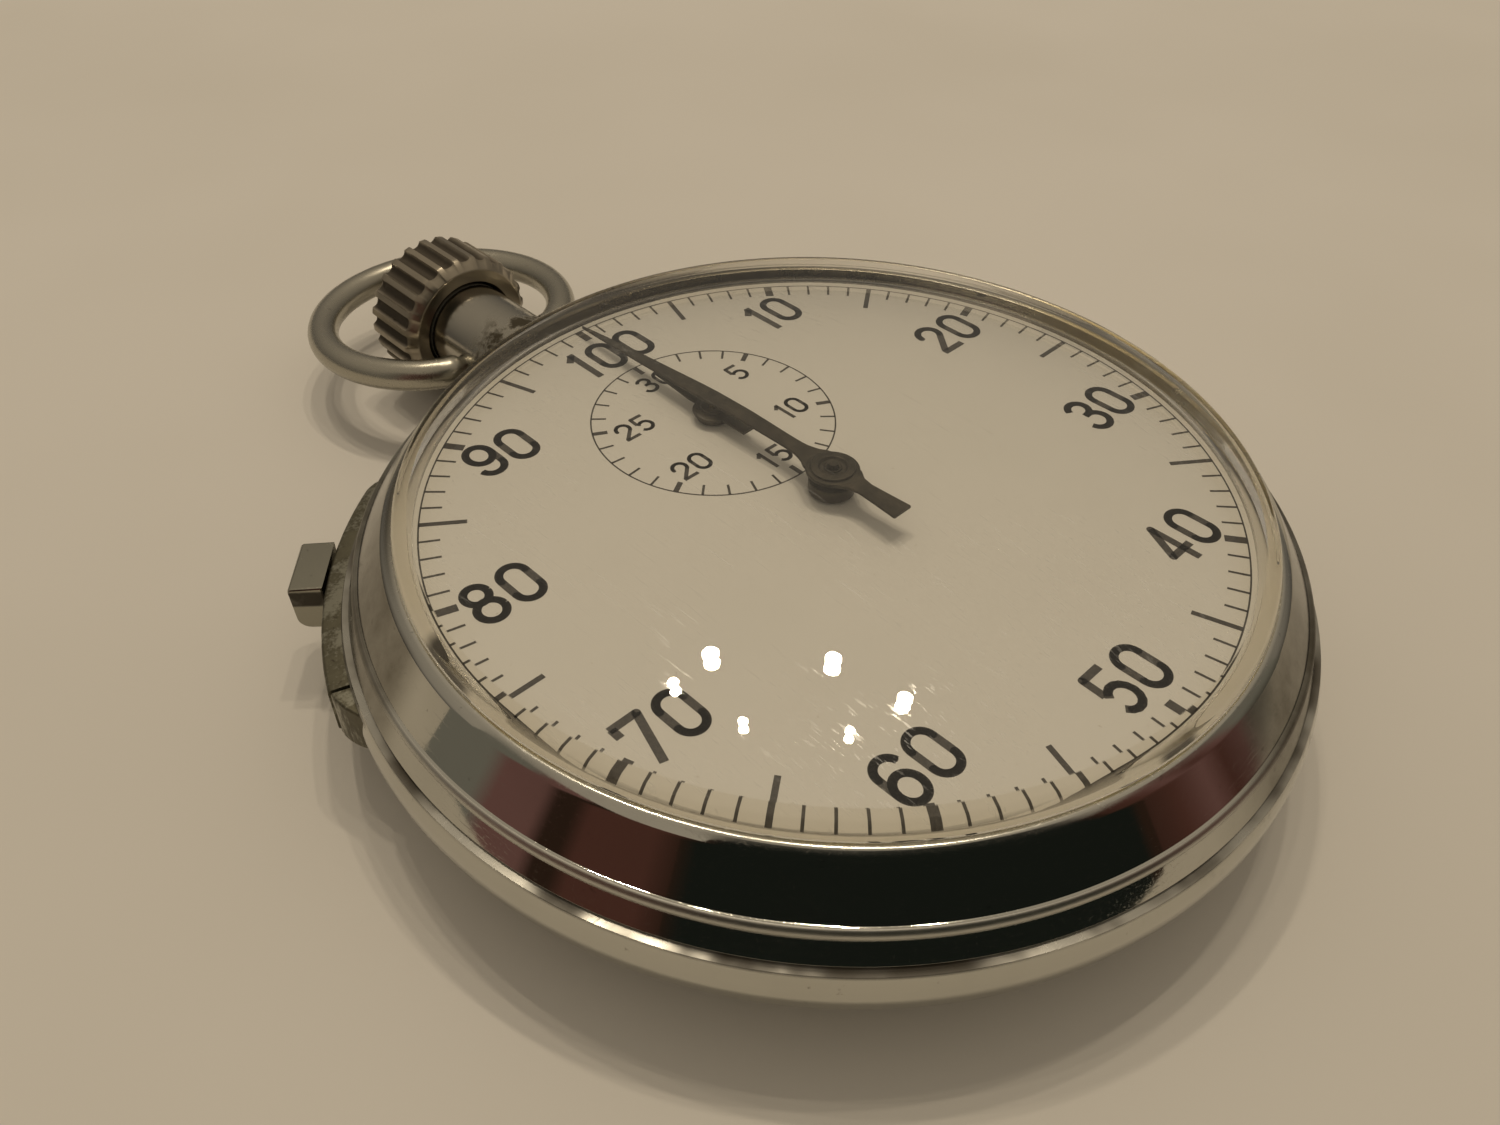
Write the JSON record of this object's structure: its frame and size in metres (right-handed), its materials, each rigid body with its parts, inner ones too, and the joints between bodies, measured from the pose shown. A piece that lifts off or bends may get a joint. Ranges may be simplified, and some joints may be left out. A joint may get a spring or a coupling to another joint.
{
  "type": "mechanical stopwatch",
  "caption": "Round pocket stopwatch with a domed crystal, a hundredth-minute dial with a minute counter, a fluted crown in a bow, a side slide and a geared movement.",
  "frame": {"origin": "centre of the flat resting face of the case back, on the case axis", "axes": "+Z out of the dial, +Y towards the crown, +X towards the three o'clock side"},
  "size_m": [0.0524, 0.0735, 0.016],
  "materials": {
    "nickel_case": "polished nickel plate, worn",
    "worn_plating": "dull, rubbed",
    "crystal": "clear domed acrylic, lightly scratched",
    "dial_enamel": "satin white",
    "hand_steel": "dark blued",
    "brass": "fine-brushed",
    "nickel_bridge": "fine-brushed nickel",
    "steel": "polished",
    "blued_steel": "blued",
    "ruby": "polished synthetic ruby"
  },
  "bodies": {
    "case": {"case_middle": "nickel_case", "case_back": "nickel_case", "bezel": "nickel_case", "crystal": "crystal", "pendant_tube": "nickel_case", "slide_end_block": "nickel_case", "dial": "dial_enamel", "dial_feet": "brass", "main_plate": "brass", "barrel_bridge": "nickel_bridge", "train_bridge": "nickel_bridge", "balance_cock": "nickel_bridge", "pallet_cock": "nickel_bridge", "bridge_screws": "blued_steel", "case_screws": "blued_steel", "plate_jewels": "ruby", "bridge_jewels": "ruby", "regulator_index": "nickel_bridge", "hairspring": "blued_steel", "hairspring_stud": "steel", "pivot_studs": "steel", "crown_spring": "steel", "click_spring": "steel", "hammer_spring": "steel", "winding_screws": "blued_steel"},
    "slider": {"slider": "worn_plating", "slider_knob": "nickel_case"},
    "bow": {"bow": "nickel_case"},
    "crown_push": {"stem_sleeve": "steel"},
    "crown": {"crown": "nickel_case", "stem": "steel"},
    "winding_pinion": {"winding_pinion": "steel"},
    "crown_wheel": {"crown_wheel": "nickel_bridge"},
    "ratchet": {"ratchet_wheel": "nickel_bridge", "ratchet_screw": "blued_steel", "barrel_arbor": "steel"},
    "click": {"click": "nickel_bridge"},
    "barrel": {"barrel_drum": "brass", "barrel_cover": "brass", "mainspring": "blued_steel"},
    "second_wheel": {"second_wheel": "brass"},
    "third_wheel": {"third_wheel": "brass"},
    "sweep": {"fourth_wheel": "brass", "sweep_arbor": "steel", "sweep_heart_cam": "steel", "sweep_hand": "hand_steel", "sweep_hand_tube": "hand_steel"},
    "intermediate_wheel": {"intermediate_wheel": "brass"},
    "minute": {"minute_wheel": "brass", "minute_heart_cam": "steel", "minute_hand": "hand_steel", "minute_hand_tube": "hand_steel"},
    "escape_wheel": {"escape_wheel": "steel"},
    "pallets": {"pallet_fork": "steel", "pallet_stones": "ruby"},
    "balance": {"balance_wheel": "brass", "balance_staff": "steel", "roller_table": "steel"},
    "reset_hammer": {"reset_hammer": "nickel_bridge"},
    "brake_lever": {"brake_lever": "nickel_bridge"}
  },
  "joints": [
    {"name": "slider_travel", "type": "hinge", "parent": "case", "child": "slider", "pos_m": [0, 0, 0.0056], "axis": [0, 0, -1], "range_deg": [0, 5]},
    {"name": "crown_press", "type": "slide", "parent": "case", "child": "crown_push", "axis": [0, -1, 0], "range_m": [0, 0.0012], "stiffness_N_per_m": 2000},
    {"name": "crown_wind", "type": "hinge", "parent": "crown_push", "child": "crown", "pos_m": [0, 0.037, 0.0056], "axis": [0, 1, 0], "continuous": true},
    {"name": "winding_pinion_turn", "type": "hinge", "parent": "case", "child": "winding_pinion", "pos_m": [0, 0.0164, 0.0056], "axis": [0, 1, 0], "continuous": true},
    {"name": "crown_wheel_turn", "type": "hinge", "parent": "case", "child": "crown_wheel", "pos_m": [0, 0.01277, 0.0025], "axis": [0, 0, 1], "continuous": true},
    {"name": "ratchet_turn", "type": "hinge", "parent": "case", "child": "ratchet", "pos_m": [-0.0096, 0.007, 0.0025], "axis": [0, 0, 1], "continuous": true},
    {"name": "click_lift", "type": "hinge", "parent": "case", "child": "click", "pos_m": [-0.01834, 0.00382, 0.0024], "axis": [0, 0, 1], "range_deg": [0, 8], "stiffness_Nm_per_rad": 0.0005},
    {"name": "bow_swing", "type": "hinge", "parent": "case", "child": "bow", "pos_m": [0, 0.0306, 0.0056], "axis": [1, 0, 0], "range_deg": [-110, 120]},
    {"name": "sweep_run", "type": "hinge", "parent": "case", "child": "sweep", "pos_m": [0, 0, 0.006], "axis": [0, 0, -1], "continuous": true},
    {"name": "intermediate_turn", "type": "hinge", "parent": "case", "child": "intermediate_wheel", "pos_m": [0.00338, 0.00447, 0.0098], "axis": [0, 0, -1], "continuous": true},
    {"name": "minute_turn", "type": "hinge", "parent": "case", "child": "minute", "pos_m": [0, 0.00913, 0.0095], "axis": [0, 0, -1], "continuous": true},
    {"name": "third_turn", "type": "hinge", "parent": "case", "child": "third_wheel", "pos_m": [-0.00225, -0.00642, 0.006], "axis": [0, 0, -1], "continuous": true},
    {"name": "second_turn", "type": "hinge", "parent": "case", "child": "second_wheel", "pos_m": [-0.008, -0.00208, 0.006], "axis": [0, 0, -1], "continuous": true},
    {"name": "barrel_turn", "type": "hinge", "parent": "case", "child": "barrel", "pos_m": [-0.0096, 0.007, 0.006], "axis": [0, 0, -1], "continuous": true},
    {"name": "escape_turn", "type": "hinge", "parent": "case", "child": "escape_wheel", "pos_m": [0.00533, -0.00308, 0.006], "axis": [0, 0, -1], "continuous": true},
    {"name": "balance_swing", "type": "hinge", "parent": "case", "child": "balance", "pos_m": [0.00671, -0.01086, 0.0046], "axis": [0, 0, 1], "range_deg": [-135, 135], "stiffness_Nm_per_rad": 0.000001},
    {"name": "pallet_rock", "type": "hinge", "parent": "case", "child": "pallets", "pos_m": [0.00591, -0.00633, 0.0061], "axis": [0, 0, 1], "range_deg": [-4, 4]},
    {"name": "hammer_swing", "type": "hinge", "parent": "case", "child": "reset_hammer", "pos_m": [0.009, 0.0145, 0.0072], "axis": [0, 0, 1], "range_deg": [0, 7.2]},
    {"name": "brake_swing", "type": "hinge", "parent": "case", "child": "brake_lever", "pos_m": [-0.01817, -0.00521, 0.0072], "axis": [0, 0, -1], "range_deg": [0, 0.6]}
  ],
  "couplings": [
    {"joint": "winding_pinion_turn", "follows": "crown_wind", "ratio": 1},
    {"joint": "crown_wheel_turn", "follows": "crown_wind", "ratio": 0.4},
    {"joint": "ratchet_turn", "follows": "crown_wind", "ratio": -0.24},
    {"joint": "intermediate_turn", "follows": "sweep_run", "ratio": -0.16667},
    {"joint": "minute_turn", "follows": "sweep_run", "ratio": 0.033333},
    {"joint": "third_turn", "follows": "sweep_run", "ratio": -0.13333},
    {"joint": "second_turn", "follows": "sweep_run", "ratio": 0.016667},
    {"joint": "barrel_turn", "follows": "sweep_run", "ratio": -0.0020833},
    {"joint": "escape_turn", "follows": "sweep_run", "ratio": -10},
    {"joint": "pallet_rock", "follows": "balance_swing", "ratio": -0.02963},
    {"joint": "hammer_swing", "follows": "crown_press", "rad_per_m": 104},
    {"joint": "brake_swing", "follows": "slider_travel", "ratio": 0.12}
  ]
}
